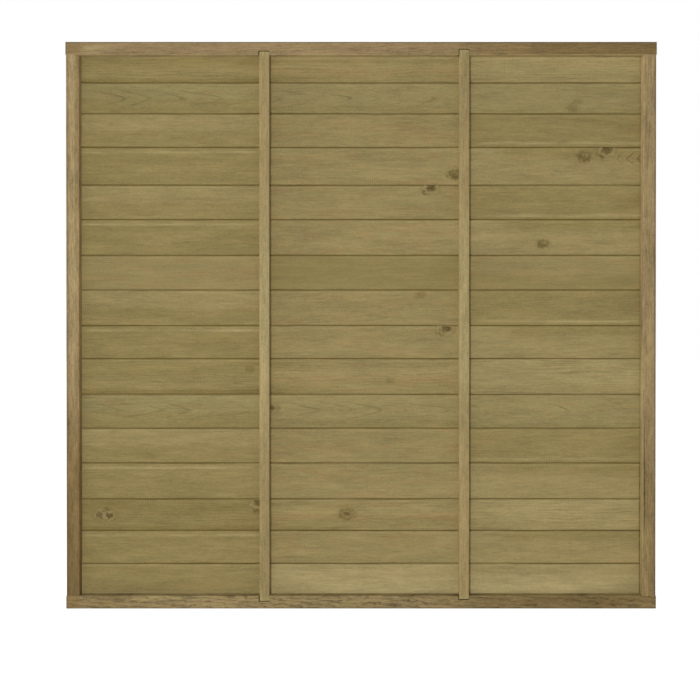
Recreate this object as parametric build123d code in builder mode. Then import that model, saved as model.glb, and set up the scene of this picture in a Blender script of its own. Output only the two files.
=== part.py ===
from build123d import *
import os

# Tongue and groove fence panel, in millimetres, +Z up
# X runs along the rails, and the back of the panel, with its battens, faces -Y.
# The origin lies under the middle of the bottom rail, halfway through the frame's depth.

# Frame of rebated rails and stiles
PANEL_WIDTH = 1830.0  # length of the rails
PANEL_HEIGHT = 1756.5
RAIL_OVERHANG = 1.5  # how far a rail end stands past the stile
FRAME_FACE = 40.0  # width of a rail or stile, seen from behind
FRAME_DEPTH = 42.0  # from the back face to the front face
FRAME_EASE = 1.5  # radius of the planed arrises
REBATE_LAP = 15.0  # how far the rebate reaches under the frame's face
FRONT_REVEAL = 2.0  # how far the boards lie below the frame's front face

# Boards of mixed widths, from the top down, as the height that each adds to the wall beyond the mean
BOARD_VARIATION = (-18.0, -9.5, -1.5, 12.0, 1.5, 5.5, 2.5, 5.0, -2.5, 5.5, 0.0, 3.0, 6.5, -7.5, -2.5, 2.5)
BOARD_THICKNESS = 12.0
BOARD_END_GAP = 2.0  # room at each end, inside the stile's rebate
BOARD_TOP_GAP = 2.0  # room over the top tongue, inside the top rail's rebate
TONGUE_THICKNESS = 4.0
TONGUE_LENGTH = 6.0
TONGUE_SIDE_CLEARANCE = 0.25  # between the tongue and each wall of the groove
TONGUE_END_CLEARANCE = 1.0  # between the tongue's tip and the groove's floor
BACK_JOINT_GAP = 2.0  # open joint that shows on the back
FRONT_BEVEL = 2.5  # each half of the V joint on the front
BACK_EASE = 1.0  # radius of the boards' arrises on the back

# Battens, flush with the frame's back and let into notches in the rails
BATTEN_WIDTH = 30.0
BATTEN_LAP = 13.0  # mean depth of a batten's end in a rail
LEFT_BATTEN_X = -300.0
RIGHT_BATTEN_X = 320.0
LEFT_BATTEN_DROP = 3.0  # how much lower than midway the left batten sits
RIGHT_BATTEN_DROP = -3.0
NOTCH_SIDE_GAP = 3.0  # open space on the left of a batten's end
NOTCH_END_GAP = 2.5  # open space beyond a batten's end

# Square-wire nails with wedge heads: long ones for the frame's corners and brads for the boards
FRAME_NAIL_LENGTH = 75.0
FRAME_NAIL_WIRE = 3.0
BRAD_LENGTH = 35.0
BRAD_WIRE = 1.6
NAIL_HEAD_LIP = 0.9  # how far a head stands past the wire on each side
NAIL_HEAD_HEIGHT = 1.6
NAIL_POINT = 3.0  # length of the chisel point
BRAD_STAGGER = 7.0  # each side of a batten's centre line, board by board

# Planes through the depth of the panel
back_y = -FRAME_DEPTH / 2
front_y = FRAME_DEPTH / 2
board_front = front_y - FRONT_REVEAL
ledge_y = board_front - BOARD_THICKNESS
board_mid = ledge_y + BOARD_THICKNESS / 2
rebate_depth = front_y - ledge_y
batten_depth = ledge_y - back_y
batten_mid = (ledge_y + back_y) / 2
lip_mid = (ledge_y + front_y) / 2

# Heights and lengths
lip_face = FRAME_FACE - REBATE_LAP
batten_length = PANEL_HEIGHT - 2 * FRAME_FACE + 2 * BATTEN_LAP
stile_out = PANEL_WIDTH / 2 - RAIL_OVERHANG
stile_mid = stile_out - FRAME_FACE / 2
stile_in = stile_out - FRAME_FACE
lip_out = stile_out - lip_face / 2
board_reach = stile_out - lip_face - BOARD_END_GAP
groove_width = TONGUE_THICKNESS + 2 * TONGUE_SIDE_CLEARANCE
groove_depth = TONGUE_LENGTH + TONGUE_END_CLEARANCE
groove_lip = (BOARD_THICKNESS - groove_width) / 2

# Cover and lower edge of each board, which together fill the frame from rebate to rebate
board_run = PANEL_HEIGHT - 2 * lip_face - TONGUE_LENGTH - BOARD_TOP_GAP
mean_cover = (board_run - sum(BOARD_VARIATION)) / len(BOARD_VARIATION)
board_covers = [mean_cover + variation for variation in BOARD_VARIATION]
board_bases = [lip_face + sum(board_covers[index + 1:]) for index in range(len(board_covers))]

# Where the frame's nails enter the rails: one at the back and one at the front of each stile
frame_points = [(-stile_mid, batten_mid), (-lip_out, lip_mid), (lip_out, lip_mid), (stile_mid, batten_mid)]
top_seats = [Location((x, y, PANEL_HEIGHT)) for x, y in frame_points]
bottom_seats = [Location((x, y, 0), (180, 0, 0)) for x, y in frame_points]

# Where the brads enter the boards: over each stile's ledge and to either side of each batten's middle
ledge_x = (stile_in + board_reach) / 2
brad_rows = []
for index, cover in enumerate(board_covers):
    stagger = BRAD_STAGGER if index % 2 else -BRAD_STAGGER
    columns = (-ledge_x, LEFT_BATTEN_X + stagger, RIGHT_BATTEN_X + stagger, ledge_x)
    height = board_bases[index] + cover / 2
    brad_rows.append([Location((x, board_front, height), (-90, 0, 0)) for x in columns])
left_ledge_seats, left_batten_seats, right_batten_seats, right_ledge_seats = zip(*brad_rows)


def make_nail(length, wire):
    """Returns one nail, with its head flush with the XY plane and its point straight below."""
    head = wire / 2 + NAIL_HEAD_LIP
    with BuildPart() as nail:
        with BuildSketch(Plane.XZ):
            with BuildLine():
                Polyline(
                    (-head, 0),
                    (head, 0),
                    (wire / 2, -NAIL_HEAD_HEIGHT),
                    (wire / 2, NAIL_POINT - length),
                    (0, -length),
                    (-wire / 2, NAIL_POINT - length),
                    (-wire / 2, -NAIL_HEAD_HEIGHT),
                    close=True,
                )
            make_face()
        extrude(amount=wire / 2, both=True)
    return nail.part


frame_nail = make_nail(FRAME_NAIL_LENGTH, FRAME_NAIL_WIRE)
brad = make_nail(BRAD_LENGTH, BRAD_WIRE)

os.makedirs("parts", exist_ok=True)

# Rails: the outer edge is the ground or the sky side, and the rebate faces the boards
for name, outer, inward, seats in (
    ("bottom_rail", 0.0, 1, bottom_seats),
    ("top_rail", PANEL_HEIGHT, -1, top_seats),
):
    inner = outer + inward * FRAME_FACE
    with BuildPart() as rail:
        with BuildSketch(Plane.YZ.offset(-PANEL_WIDTH / 2)) as section:
            with Locations((0, (outer + inner) / 2)):
                Rectangle(FRAME_DEPTH, FRAME_FACE)
            fillet(section.vertices(), FRAME_EASE)
            with Locations((front_y, inner)):
                Rectangle(2 * rebate_depth, 2 * REBATE_LAP, mode=Mode.SUBTRACT)
            lip_corner = (front_y, outer + inward * lip_face)
            fillet(section.vertices().sort_by_distance(lip_corner)[0], FRAME_EASE)
        extrude(amount=PANEL_WIDTH)

        # Notches for the batten ends, open to the back and wider on the left
        for centre, drop in ((LEFT_BATTEN_X, LEFT_BATTEN_DROP), (RIGHT_BATTEN_X, RIGHT_BATTEN_DROP)):
            notch_height = BATTEN_LAP + inward * drop + NOTCH_END_GAP
            with BuildSketch(Plane.XZ.offset(-ledge_y)):
                with Locations((centre - NOTCH_SIDE_GAP / 2, inner)):
                    Rectangle(BATTEN_WIDTH + NOTCH_SIDE_GAP, 2 * notch_height)
            extrude(amount=batten_depth, mode=Mode.SUBTRACT)

        with Locations(*seats):
            add(frame_nail, mode=Mode.SUBTRACT)
    rail.part.label = name
    export_step(rail.part, f"parts/{name}.step")

# Stiles: the back part stops at the rails, and the front part runs on into their rebates
for name, side, brad_seats in (("left_stile", -1, left_ledge_seats), ("right_stile", 1, right_ledge_seats)):
    with BuildPart() as stile:
        with BuildSketch(Plane.XY.offset(lip_face)) as section:
            with Locations((side * stile_mid, 0)):
                Rectangle(FRAME_FACE, FRAME_DEPTH)
            fillet(section.vertices(), FRAME_EASE)
            with Locations((side * stile_in, front_y)):
                Rectangle(2 * REBATE_LAP, 2 * rebate_depth, mode=Mode.SUBTRACT)
            lip_corner = (side * (stile_out - lip_face), front_y)
            fillet(section.vertices().sort_by_distance(lip_corner)[0], FRAME_EASE)
        extrude(amount=PANEL_HEIGHT - 2 * lip_face)

        for shoulder in (lip_face, PANEL_HEIGHT - FRAME_FACE):
            with BuildSketch(Plane.XY.offset(shoulder)):
                with Locations((side * stile_mid, batten_mid)):
                    Rectangle(FRAME_FACE, batten_depth)
            extrude(amount=REBATE_LAP, mode=Mode.SUBTRACT)

        with Locations(*top_seats, *bottom_seats):
            add(frame_nail, mode=Mode.SUBTRACT)
        with Locations(*brad_seats):
            add(brad, mode=Mode.SUBTRACT)
    stile.part.label = name
    export_step(stile.part, f"parts/{name}.step")

# Battens
for name, centre, drop, brad_seats in (
    ("left_batten", LEFT_BATTEN_X, LEFT_BATTEN_DROP, left_batten_seats),
    ("right_batten", RIGHT_BATTEN_X, RIGHT_BATTEN_DROP, right_batten_seats),
):
    with BuildPart() as batten:
        with BuildSketch(Plane.XY.offset(FRAME_FACE - BATTEN_LAP - drop)) as section:
            with Locations((centre, batten_mid)):
                Rectangle(BATTEN_WIDTH, batten_depth)
            fillet(section.vertices().group_by(Axis.Y)[0], FRAME_EASE)
        extrude(amount=batten_length)
        with Locations(*brad_seats):
            add(brad, mode=Mode.SUBTRACT)
    batten.part.label = name
    export_step(batten.part, f"parts/{name}.step")

# Boards: tongue up and groove down, so that rain runs off
for index, cover in enumerate(board_covers):
    name = f"board_{index + 1:02d}"
    base = board_bases[index]
    with BuildPart() as board:
        with BuildSketch(Plane.YZ.offset(-board_reach)) as section:
            with Locations((ledge_y, base)):
                Rectangle(BOARD_THICKNESS, cover, align=(Align.MIN, Align.MIN))
                Rectangle(groove_lip, BACK_JOINT_GAP, align=(Align.MIN, Align.MIN), mode=Mode.SUBTRACT)
            with Locations((board_mid, base)):
                Rectangle(groove_width, groove_depth, align=(Align.CENTER, Align.MIN), mode=Mode.SUBTRACT)
            chamfer(section.vertices().group_by(Axis.X)[-1], FRONT_BEVEL)
            fillet(section.vertices().group_by(Axis.X)[0], BACK_EASE)
            with Locations((board_mid, base + cover)):
                Rectangle(TONGUE_THICKNESS, TONGUE_LENGTH, align=(Align.CENTER, Align.MIN))
        extrude(amount=2 * board_reach)
        with Locations(*brad_rows[index]):
            add(brad, mode=Mode.SUBTRACT)
    board.part.label = name
    export_step(board.part, f"parts/{name}.step")

# Nails that hold the frame together
with BuildPart() as frame_nails:
    with Locations(*top_seats, *bottom_seats):
        add(frame_nail)
frame_nails.part.label = "frame_nails"
export_step(frame_nails.part, "parts/frame_nails.step")

# Brads that hold the boards to stiles and battens
with BuildPart() as board_brads:
    for row in brad_rows:
        with Locations(*row):
            add(brad)
board_brads.part.label = "board_brads"
export_step(board_brads.part, "parts/board_brads.step")
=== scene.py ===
"""Looks of the tongue and groove fence panel: treated softwood boards in a rebated frame."""

from __future__ import annotations

import logging
import math
import random
from collections.abc import Callable, Iterable, Mapping, Sequence
from dataclasses import dataclass, field
from enum import Enum
from typing import Any

import bmesh
import bpy
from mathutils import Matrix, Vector, noise

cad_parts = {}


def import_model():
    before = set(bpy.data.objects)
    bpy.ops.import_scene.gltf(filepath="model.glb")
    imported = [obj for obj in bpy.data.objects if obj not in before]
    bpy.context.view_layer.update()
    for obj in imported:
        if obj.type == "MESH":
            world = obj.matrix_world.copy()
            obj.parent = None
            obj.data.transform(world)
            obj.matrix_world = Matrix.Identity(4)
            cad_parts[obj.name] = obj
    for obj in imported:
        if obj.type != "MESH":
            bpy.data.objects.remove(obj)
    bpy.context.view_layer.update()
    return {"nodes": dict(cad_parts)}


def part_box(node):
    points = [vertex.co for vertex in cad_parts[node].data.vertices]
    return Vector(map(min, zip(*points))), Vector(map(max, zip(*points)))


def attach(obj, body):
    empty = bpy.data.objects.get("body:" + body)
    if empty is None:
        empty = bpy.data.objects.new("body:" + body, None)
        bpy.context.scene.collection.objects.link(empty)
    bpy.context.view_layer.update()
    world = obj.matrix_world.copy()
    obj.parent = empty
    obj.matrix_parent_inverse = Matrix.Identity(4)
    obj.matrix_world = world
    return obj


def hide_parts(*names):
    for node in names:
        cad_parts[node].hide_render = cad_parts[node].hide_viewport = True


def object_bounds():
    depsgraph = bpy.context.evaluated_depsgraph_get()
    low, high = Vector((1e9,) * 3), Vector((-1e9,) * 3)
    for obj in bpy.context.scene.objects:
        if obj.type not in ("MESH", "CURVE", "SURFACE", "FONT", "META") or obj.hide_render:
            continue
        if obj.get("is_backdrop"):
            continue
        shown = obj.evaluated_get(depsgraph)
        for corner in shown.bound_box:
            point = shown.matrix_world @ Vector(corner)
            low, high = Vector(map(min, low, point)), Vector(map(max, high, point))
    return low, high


LOG = logging.getLogger("fence_panel")
BODY = "root"
MM = 0.001

Point = tuple[float, float]
Point3 = tuple[float, float, float]
Place = Callable[[float, float, float], Vector]

# The curve between sRGB and linear light
SRGB_KNEE = 0.04045
SRGB_SLOPE = 12.92
SRGB_OFFSET = 0.055
SRGB_POWER = 2.4
HEX_BASE = 16
HEX_TOP = 255
HEX_STARTS = (1, 3, 5)


def linear(code: str) -> tuple[float, float, float, float]:
    """Turns an sRGB hex colour into linear light.

    Args:
        code: The colour as a hash and six hex digits.

    Returns:
        Red, green, blue and an alpha of one.
    """
    channels = [int(code[at:at + 2], HEX_BASE) / HEX_TOP for at in HEX_STARTS]
    red, green, blue = (
        value / SRGB_SLOPE
        if value <= SRGB_KNEE
        else ((value + SRGB_OFFSET) / (1 + SRGB_OFFSET)) ** SRGB_POWER
        for value in channels
    )
    return red, green, blue, 1.0


class Grain(Enum):
    """Which way a piece's fibres run, as the panel axes that are along, across and through it."""

    LEVEL = ("X", "Z", "Y")
    UPRIGHT = ("Z", "X", "Y")


class Tone(Enum):
    """Colours that copper treatment and weather give the panel's softwood, some of which also serve for
    painted shade and painted highlights.
    """

    OLIVE = "#8a7b4d"
    MOSS = "#8e8256"
    TAN = "#918155"
    STRAW = "#97875a"
    PALE = "#9e8f62"
    CREAM = "#a8986b"
    PAINTED_LIGHT = "#b9a879"
    SHADE = "#7b6b3e"
    STAIN_AND_SHADE = "#564820"
    JOINT = "#78642b"
    KNOT = "#4a3d16"
    RESIN = "#6c4c2a"
    BATTEN = "#98855b"
    STILE = "#a18c64"
    ROSE = "#927c59"
    RUST = "#967a50"
    BROWN = "#7f6941"
    UMBER = "#735f3b"
    GREY = "#867551"
    DUSK = "#594f3b"
    BARK = "#685533"


class Graph:
    """A node tree that is filled one node at a time."""

    def __init__(self, tree: bpy.types.NodeTree) -> None:
        """Takes a material's or the world's tree and empties it."""
        self.tree = tree
        self.tree.nodes.clear()

    def add(
        self,
        kind: str,
        inputs: Mapping[str | int, Any] | None = None,
        **settings: Any,
    ) -> bpy.types.Node:
        """Adds a node with its settings and links.

        Args:
            kind: The node's type, without the prefix that all shader nodes share.
            inputs: Values, sockets or nodes for the inputs, by name or index. A node gives its first
                output.
            **settings: The node's own properties.

        Returns:
            The new node.
        """
        node = self.tree.nodes.new(f"ShaderNode{kind}")
        for key, value in settings.items():
            setattr(node, key, value)
        for key, value in (inputs or {}).items():
            if isinstance(key, int):
                socket = node.inputs[key]
            else:
                socket = next(one for one in node.inputs if one.enabled and one.name == key)
            if isinstance(value, bpy.types.Node):
                value = next(one for one in value.outputs if one.enabled)
            if isinstance(value, bpy.types.NodeSocket):
                self.tree.links.new(value, socket)
            else:
                socket.default_value = value
        return node

    def math(self, operation: str, *values: Any, **settings: Any) -> bpy.types.Node:
        """Adds a sum on single values."""
        return self.add("Math", dict(enumerate(values)), operation=operation, **settings)

    def vector(self, operation: str, *values: Any) -> bpy.types.Node:
        """Adds a sum on points."""
        return self.add("VectorMath", dict(enumerate(values)), operation=operation)

    def blend(self, share: Any, below: Any, code: str) -> bpy.types.Node:
        """Adds an sRGB hex colour that covers a share of the one below."""
        return self.add("Mix", {"Factor": share, "A": below, "B": linear(code)}, data_type="RGBA")

    def smooth(self, value: Any, start: float, end: float) -> bpy.types.Node:
        """Adds a value that goes softly from 0 at the start to 1 at the end."""
        limits = {"Value": value, "From Min": start, "From Max": end}
        return self.add("MapRange", limits, interpolation_type="SMOOTHSTEP")


@dataclass(frozen=True)
class KnotZone:
    """One zone of a knot, whose sizes are shares of the knot's radius.

    Attributes:
        tone: Its colour.
        weight: How far it covers the wood below, from 0 to 1.
        outer: Where it fades in.
        inner: Where it is full.
        flat: How much thinner it is across the grain.
        mottle: How far noise breaks it up, from 0 to 1.
        shift: How far it lies towards the knot's lit side.
    """

    tone: Tone
    weight: float
    outer: float
    inner: float
    flat: float = 1.0
    mottle: float = 0.0
    shift: float = 0.0


class KnotKind(Enum):
    """How a knot looks, as its zones from below."""

    # A dead branch: shaded wood, a stain beside it, a pale crescent, the dark bark and a darker heart
    DEAD = (
        KnotZone(Tone.SHADE, 0.75, 2.8, 0.9),
        KnotZone(Tone.STAIN_AND_SHADE, 0.85, 1.35, 0.3, 1.0, 0.45, 1.4),
        KnotZone(Tone.CREAM, 0.6, 1.7, 1.4, 1.0, 0.4, 0.2),
        KnotZone(Tone.STAIN_AND_SHADE, 0.85, 1.4, 0.7, 1.0, 0.35),
        KnotZone(Tone.KNOT, 0.6, 0.9, 0.2, 1.2, 0.7, -0.15),
    )
    # A live branch: shaded wood, a dark rim, a pale heart and the pith
    LIVE = (
        KnotZone(Tone.SHADE, 0.75, 2.4, 0.9),
        KnotZone(Tone.STAIN_AND_SHADE, 0.85, 1.6, 0.85, 1.0, 0.55, -0.1),
        KnotZone(Tone.PALE, 0.7, 0.95, 0.5, 1.0, 0.6, 0.15),
        KnotZone(Tone.STAIN_AND_SHADE, 0.7, 0.7, 0.15, 1.0, 0.6, -0.1),
    )
    # A live branch full of resin: shaded wood, a broken rim, pale wood, a reddish heart and its dark specks
    RESINOUS = (
        KnotZone(Tone.SHADE, 0.65, 2.6, 0.9),
        KnotZone(Tone.STAIN_AND_SHADE, 0.65, 1.75, 1.0, 1.0, 0.7, -0.2),
        KnotZone(Tone.PALE, 0.65, 1.15, 0.75, 1.0, 0.45),
        KnotZone(Tone.RESIN, 1.0, 1.0, 0.4, 1.3, 0.35, 0.1),
        KnotZone(Tone.KNOT, 0.6, 0.6, 0.1, 1.3, 0.8, 0.2),
    )


@dataclass(frozen=True)
class Knot:
    """Where a branch was cut through, in millimetres on the panel.

    Attributes:
        along: Place along the grain.
        across: Place across the grain.
        radius: Radius of the knot's dark rim across the grain.
        strength: How dark it is, from 0 to 1.
        lit: To which side its pale crescent and its stain lie, along and across the grain.
        kind: How it looks.
    """

    along: float
    across: float
    radius: float
    strength: float = 1.0
    lit: Point = (1.0, 1.0)
    kind: KnotKind = KnotKind.LIVE


@dataclass(frozen=True)
class Arches:
    """Late wood that stands as nested arches where the cut grazes a ring, in millimetres on the panel.

    Attributes:
        along: Place of the first tip along the grain.
        across: Place of the tips across the grain.
        pitch: From one arch to the next.
        count: How many there are.
        spread: How far an arch reaches to each side of its tip.
        strength: How dark they are, from 0 to 1.
        lean: How far the arms run on along the grain for each millimetre across it, or back if below 0.
        width: Half the length of a tip.
        waver: How far an arch strays along the grain.
        tip_radius: Radius of its tip across the grain.
    """

    along: float
    across: float
    pitch: float = 33.0
    count: int = 3
    spread: float = 25.0
    strength: float = 0.55
    lean: float = 1.0
    width: float = 6.5
    waver: float = 4.0
    tip_radius: float = 6.0


@dataclass(frozen=True)
class Patch:
    """A soft-edged stretch of another tone, in millimetres on the panel.

    Attributes:
        tone: Its colour.
        along: Where it starts and ends along the grain.
        across: Where it starts and ends across the grain.
        soft: How far its edge fades, along and across the grain.
        weight: How far it covers the wood below, from 0 to 1.
        broken: How far slow noise breaks it up, from 0 to 1.
        reach: The depth of the panel up to which it is full, or nothing if it goes all through.
        beyond: The share of it that shows past that depth.
    """

    tone: Tone
    along: Point
    across: Point
    soft: Point = (60.0, 4.0)
    weight: float = 0.8
    broken: float = 0.3
    reach: float | None = None
    beyond: float = 0.0


@dataclass(frozen=True)
class Figure:
    """How the growth rings lie in a piece, in millimetres.

    Attributes:
        pith: Place of the stem's middle across the grain and through the depth of the panel.
        taper: Growth of the rings' radius for each millimetre along the grain, which makes them run out.
        spacing: Width of a year's ring, drawn about twice as coarse as it grows so that it shows.
        strength: How much darker the late wood is.
        steady: The share of that strength that shows everywhere, while the rest comes and goes in patches.
        waver: How far the rings stray.
    """

    pith: Point
    taper: float
    spacing: float = 6.0
    strength: float = 0.12
    steady: float = 0.1
    waver: float = 1.1


@dataclass(frozen=True)
class Marks:
    """Soft marks that run with the grain.

    Attributes:
        along: Length of a mark in millimetres.
        across: Width of a mark in millimetres.
        layers: How many finer layers they have.
    """

    along: float
    across: float
    layers: float = 1.0


# How far apart the patterns of two pieces lie, in metres for one step of the seed
SEED_STEP = (3.17, 1.73, 2.31)
# The middle range of noise values, which is spread to the whole range
NOISE_LOW = 0.3
NOISE_HIGH = 0.7
# The fibres, drawn far coarser than they grow so that they show
FIBRES = Marks(100.0, 3.2, 2.0)
# How the rings sway and waver, and the patches in which they show
RING_SWAY = Marks(320.0, 55.0, 2.0)
RING_WAVER = Marks(34.0, 9.0)
RING_PATCHES = Marks(170.0, 34.0)
# From which value of those patches the rings show, and where they are full
RINGS_HIDDEN = -0.3
RINGS_FULL = 0.9
# How far the sway moves the rings, in metres
RING_DRIFT = 6.0 * MM
# Where in a year's ring the late wood starts and is darkest
LATE_WOOD_START = 0.5
LATE_WOOD_FULL = 0.88
# The share of a ring that counts as late wood, which keeps the mean colour as written
LATE_WOOD_SHARE = 0.25
# Slow tints: tone, marks and how far they cover
TINTS = (
    (Tone.MOSS, Marks(190.0, 22.0, 2.0), 0.75),
    (Tone.RUST, Marks(80.0, 15.0, 2.0), 0.42),
)
# Light and dark clouds: marks and how far they change the brightness
CLOUDS = (
    (Marks(400.0, 70.0), 0.055),
    (Marks(140.0, 26.0), 0.06),
    (Marks(62.0, 10.0), 0.045),
    (Marks(36.0, 5.0), 0.055),
    (Marks(16.0, 4.5), 0.055),
    (Marks(5.5, 4.4), 0.045),
)
# Dark specks of sawn wood, and what breaks up a patch of another tone
SPECKS = Marks(5.0, 3.6)
PATCH_BREAKS = Marks(150.0, 26.0, 2.0)
# How much darker or paler the fibres and the ripples are
FIBRE_WEIGHT = 0.05
RIPPLE_WEIGHT = 0.085
# Pitch of the planer's ripples in millimetres, drawn about twice as coarse as they are so that they show
RIPPLE_PITCH = 7.0
# How far the ripples slip out of step, in radians, and over which stretches
RIPPLE_SLIP = 3.0
RIPPLE_STRETCHES = Marks(70.0, 22.0)
# The patches in which the ripples show, from which value and where they are full
RIPPLE_PATCHES = Marks(80.0, 24.0)
RIPPLES_HIDDEN = 0.2
RIPPLES_FULL = 0.8
# The share of the ripples that sawn wood has
SAWN = 0.25
# Relief in millimetres
LATE_WOOD_RELIEF = 0.12
FIBRE_RELIEF = 0.08
RIPPLE_RELIEF = 0.04
# How much smoother late wood is than early wood
LATE_WOOD_POLISH = 0.1
# How far the wood darkens into a joint, in millimetres
JOINT_FADE = 1.2
# How far a patch that belongs to the back fades through the depth, in millimetres
PATCH_DEPTH_FADE = 1.5
# A knot: its length over its width, and how uneven it is
KNOT_STRETCH = 1.35
KNOT_UNEVEN = 0.38
# How far a knot pushes the rings aside, in metres
KNOT_BEND = 9.0 * MM
# The grain inside a knot: its size as a share of the radius, and the values where it is lost and kept
KNOT_GRAIN = 0.4
KNOT_GRAIN_LOST = -0.6
KNOT_GRAIN_KEPT = 0.6
# Length of the drift of nested arches as a share of their pitch, and its width as a share of their spread
ARCH_DRIFT_LENGTH = 1.3
ARCH_DRIFT_WIDTH = 2.0
# How far the arches reach past the first and last tip and how far they fade there, in pitches
ARCH_HALF = 0.5
ARCH_FADE = 0.2
# The share of its spread over which an arch is full
ARCH_CORE = 0.5
# The patches in which arches show, and from which value
ARCH_PATCHES = Marks(90.0, 40.0)
ARCHES_HIDDEN = -0.7


@dataclass(frozen=True)
class TreatedSoftwood:
    """Planed pine or spruce, pressure treated with copper and dried outdoors.

    The planer leaves a matt face with faint cross ripples. Early wood stays pale and late wood shows as
    darker lines, and the copper gives an olive cast that varies in slow streaks.

    Attributes:
        name: The material's name.
        grain: Which way the fibres run.
        ground: The tone below all marks.
        seed: Moves the patterns, so that no two pieces are alike.
        figure: How the growth rings lie.
        knots: Its knots.
        patches: Stretches of another tone, lowest layer first.
        arches: Its nested arches.
        speckle: How dark the specks of sawn wood are.
        planed: The share of the planer's ripples that it has.
        contrast: How strong its light and dark clouds are.
        cast: How strong its slow tints are.
        roughness: Roughness of the early wood.
        ior: Index of refraction.
        gloss: Strength of its gloss.
        joint: Between which depths of the panel its joints are dark, in millimetres, or nothing.
    """

    name: str
    grain: Grain
    ground: Tone
    seed: float
    figure: Figure
    knots: tuple[Knot, ...] = ()
    patches: tuple[Patch, ...] = ()
    arches: tuple[Arches, ...] = ()
    speckle: float = 0.0
    planed: float = 1.0
    contrast: float = 1.0
    cast: float = 1.0
    roughness: float = 0.74
    ior: float = 1.5
    gloss: float = 0.1
    joint: Point | None = None

    def material(self) -> bpy.types.Material:
        """Builds the finish as a material.

        Returns:
            The new material.
        """
        material = bpy.data.materials.new(self.name)
        material.use_nodes = True
        graph = Graph(material.node_tree)
        axes = graph.add("SeparateXYZ", {0: graph.add("TexCoord").outputs["Object"]})
        along, across, depth = (axes.outputs[axis] for axis in self.grain.value)
        timber = graph.add("CombineXYZ", {"X": along, "Y": across, "Z": depth})
        offset = tuple(self.seed * step for step in SEED_STEP)
        place = graph.vector("ADD", timber, offset)
        masks = [
            [self.knot_mask(graph, timber, place, knot, zone) for zone in knot.kind.value]
            for knot in self.knots
        ]
        ring = self.rings(graph, timber, place, [halo for halo, *_ in masks])
        fibre = self.pattern(graph, place, FIBRES)
        ripple = self.ripples(graph, along, place)
        colour = self.colour(graph, timber, place, ring, fibre, ripple)
        for arches in self.arches:
            share = self.arch_mask(graph, timber, place, arches)
            colour = graph.blend(share, colour, Tone.STAIN_AND_SHADE.value)
        for knot, layers in zip(self.knots, masks):
            for mask, zone in zip(layers, knot.kind.value):
                share = graph.math("MULTIPLY", mask, zone.weight * knot.strength)
                colour = graph.blend(share, colour, zone.tone.value)
        height = graph.math("MULTIPLY", ring, LATE_WOOD_RELIEF)
        height = graph.math("MULTIPLY_ADD", fibre, FIBRE_RELIEF, height)
        height = graph.math("MULTIPLY_ADD", ripple, RIPPLE_RELIEF * self.planed, height)
        bump = graph.add("Bump", {"Strength": 1.0, "Distance": MM, "Height": height})
        rough = graph.math("MULTIPLY_ADD", ring, -LATE_WOOD_POLISH, self.roughness)
        surface = graph.add(
            "BsdfPrincipled",
            {
                "Base Color": colour,
                "Roughness": rough,
                "IOR": self.ior,
                "Specular IOR Level": self.gloss,
                "Normal": bump,
            },
        )
        graph.add("OutputMaterial", {"Surface": surface})
        return material

    def pattern(self, graph: Graph, place: bpy.types.Node, marks: Marks) -> bpy.types.Node:
        """Adds noise of a real size that runs with the grain.

        Args:
            graph: The tree to add to.
            place: Where on the timber a point lies.
            marks: The size of its marks.

        Returns:
            A node whose value runs from -1 to 1.
        """
        scale = tuple(1 / (size * MM) for size in (marks.along, marks.across, marks.across))
        stretched = graph.vector("MULTIPLY", place, scale)
        cloud = graph.add("TexNoise", {"Vector": stretched, "Scale": 1.0, "Detail": marks.layers})
        return graph.add(
            "MapRange",
            {"Value": cloud, "From Min": NOISE_LOW, "From Max": NOISE_HIGH, "To Min": -1.0, "To Max": 1.0},
        )

    def rings(
        self, graph: Graph, timber: bpy.types.Node, place: bpy.types.Node, halos: Sequence[bpy.types.Node]
    ) -> bpy.types.Node:
        """Adds the growth rings as cones round the pith, bent aside by each knot.

        Args:
            graph: The tree to add to.
            timber: A point along, across and through the timber.
            place: The same point, moved by the piece's seed.
            halos: The masks of the wood that flows round each knot.

        Returns:
            A node whose value is 0 in early wood and 1 in late wood.
        """
        pith = (0.0, self.figure.pith[0] * MM, self.figure.pith[1] * MM)
        offset = graph.vector("SUBTRACT", timber, pith)
        flat = graph.vector("MULTIPLY", offset, (0.0, 1.0, 1.0))
        radius = graph.vector("LENGTH", flat).outputs["Value"]
        length = graph.add("SeparateXYZ", {0: timber}).outputs["X"]
        radius = graph.math("MULTIPLY_ADD", length, self.figure.taper, radius)
        shifts = [
            (self.pattern(graph, place, RING_SWAY), RING_DRIFT),
            (self.pattern(graph, place, RING_WAVER), self.figure.waver * MM),
            *((halo, KNOT_BEND) for halo in halos),
        ]
        for shift, size in shifts:
            radius = graph.math("MULTIPLY_ADD", shift, size, radius)
        turns = graph.math("DIVIDE", radius, self.figure.spacing * MM)
        phase = graph.math("FRACT", turns)
        rise, drop = (
            graph.smooth(phase, start, end)
            for start, end in ((LATE_WOOD_START, LATE_WOOD_FULL), (LATE_WOOD_FULL, 1.0))
        )
        late = graph.math("SUBTRACT", rise, drop)
        moved = graph.vector("ADD", place, SEED_STEP)
        shown = graph.add(
            "MapRange",
            {
                "Value": self.pattern(graph, moved, RING_PATCHES),
                "From Min": RINGS_HIDDEN,
                "From Max": RINGS_FULL,
                "To Min": self.figure.steady,
            },
        )
        for halo in halos:
            shown = graph.math("MAXIMUM", shown, halo)
        return graph.math("MULTIPLY", late, shown)

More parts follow.
